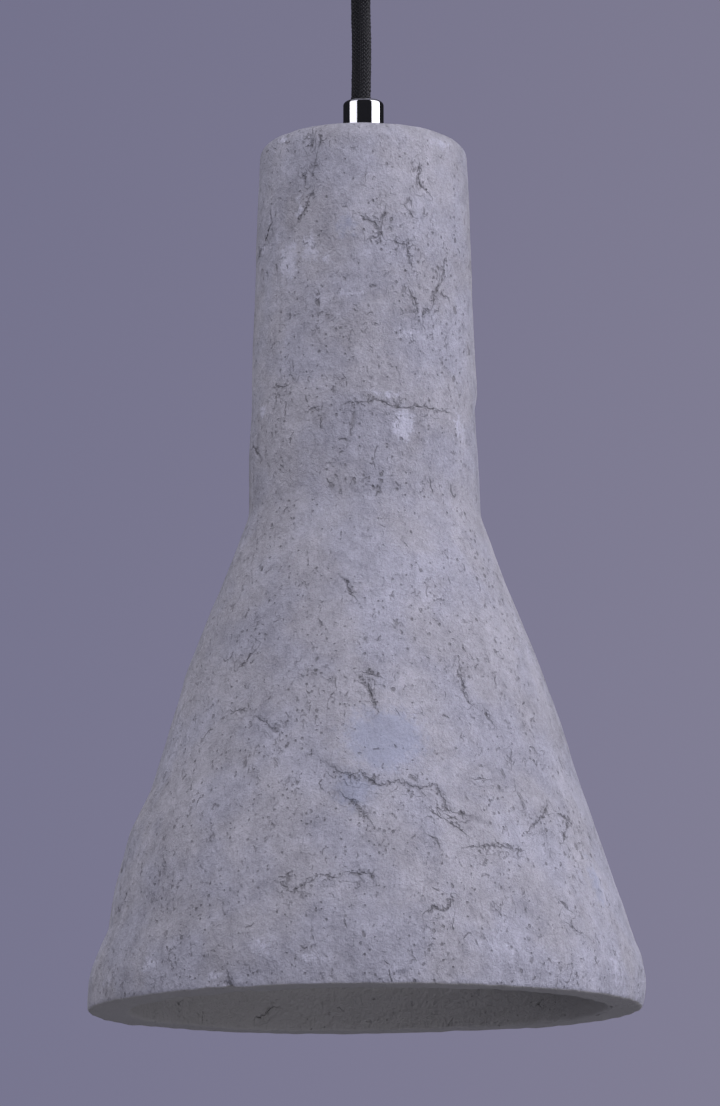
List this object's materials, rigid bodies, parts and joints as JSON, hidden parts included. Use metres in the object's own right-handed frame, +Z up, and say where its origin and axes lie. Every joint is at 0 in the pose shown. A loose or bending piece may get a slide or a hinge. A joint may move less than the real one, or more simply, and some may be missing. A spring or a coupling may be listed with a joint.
{
  "type": "pendant ceiling light",
  "caption": "Hand-cast concrete bottle-shaped pendant shade with a flared open mouth, hung on a short black textile cord from a ceiling cup, with a screw-in lamp.",
  "frame": {"origin": "centre of the ceiling plate's top face, on the ceiling, on the lamp's axis", "axes": "+Z up into the ceiling, +X to the viewer's right, +Y away from the viewer; the lamp hangs along -Z"},
  "size_m": [0.1907, 0.1908, 0.409],
  "materials": {
    "concrete": "raw hand-cast grey cement, matt, with pits, hair cracks and paler lime bloom",
    "cord_textile": "black braided textile over a round flexible cord",
    "chrome": "polished chrome plate",
    "steel": "bright steel fasteners",
    "zinc_steel": "zinc-plated pressed or turned steel",
    "white_nylon": "translucent white moulded nylon",
    "brass": "plain turned and pressed brass",
    "rubber": "black rubber sheet",
    "holder_plastic": "black moulded phenolic, semi-gloss",
    "porcelain": "white unglazed porcelain",
    "core_brown": "brown PVC core insulation",
    "core_blue": "blue PVC core insulation",
    "core_green": "green and yellow striped PVC core insulation",
    "nickel": "nickel-plated rolled lamp cap",
    "black_glass": "black vitreous insulator",
    "white_plastic": "white moulded plastic collar",
    "opal_diffuser": "opal white diffuser, satin",
    "aluminium": "aluminium-cored board with white mask",
    "led_phosphor": "yellow phosphor over white packages"
  },
  "bodies": {
    "ceiling_fitting": {"ceiling_plate": "zinc_steel", "ceiling_cup": "chrome", "cup_side_screws": "chrome", "terminal_block": "white_nylon", "terminal_sleeves": "brass", "terminal_screws": "steel", "terminal_block_screws": "steel", "plate_earth_screw": "brass", "plate_earth_tag": "brass", "cup_cord_grip": "chrome", "cup_grip_screw": "steel", "cup_grip_nut": "steel", "cord_top_end": "cord_textile", "cup_conductor_live": "core_brown", "cup_conductor_neutral": "core_blue", "cup_conductor_earth": "core_green"},
    "cord_upper": {"cord_upper": "cord_textile"},
    "cord_lower": {"cord_lower": "cord_textile"},
    "pendant": {"concrete_shade": "concrete", "shade_cord_grip": "chrome", "shade_grip_screw": "steel", "cord_bottom_end": "cord_textile", "threaded_nipple": "zinc_steel", "rubber_washer": "rubber", "steel_washer": "zinc_steel", "holder_earth_tag": "brass", "nipple_nut": "steel", "holder_cap": "holder_plastic", "holder_lock_screw": "steel", "holder_skirt": "holder_plastic", "holder_insulator": "porcelain", "holder_terminal_screws": "brass", "holder_screw_shell": "brass", "holder_centre_contact": "brass", "holder_conductor_live": "core_brown", "holder_conductor_neutral": "core_blue", "holder_conductor_earth": "core_green"},
    "bulb_travel": {"bulb_centre_contact": "nickel"},
    "bulb": {"bulb_insulator": "black_glass", "bulb_screw_cap": "nickel", "bulb_collar": "white_plastic", "bulb_diffuser": "opal_diffuser", "bulb_led_board": "aluminium", "bulb_leds": "led_phosphor"}
  },
  "joints": [
    {"name": "cord_swing", "type": "hinge", "parent": "ceiling_fitting", "child": "cord_upper", "pos_m": [0, 0, -0.042], "axis": [0, 1, 0], "range_deg": [-20, 20]},
    {"name": "cord_twist", "type": "hinge", "parent": "cord_upper", "child": "cord_lower", "pos_m": [0, 0, -0.08], "axis": [0, 0, 1], "range_deg": [-90, 90]},
    {"name": "shade_tilt", "type": "hinge", "parent": "cord_lower", "child": "pendant", "pos_m": [0, 0, -0.086], "axis": [1, 0, 0], "range_deg": [-12, 12]},
    {"name": "bulb_out", "type": "slide", "parent": "pendant", "child": "bulb_travel", "axis": [0, 0, -1], "range_m": [0, 0.0202]},
    {"name": "bulb_turn", "type": "hinge", "parent": "bulb_travel", "child": "bulb", "pos_m": [0, 0, -0.2], "axis": [0, 0, -1], "range_deg": [0, 1980]}
  ],
  "couplings": [
    {"joint": "bulb_out", "follows": "bulb_turn", "m_per_rad": 0.00057757}
  ]
}
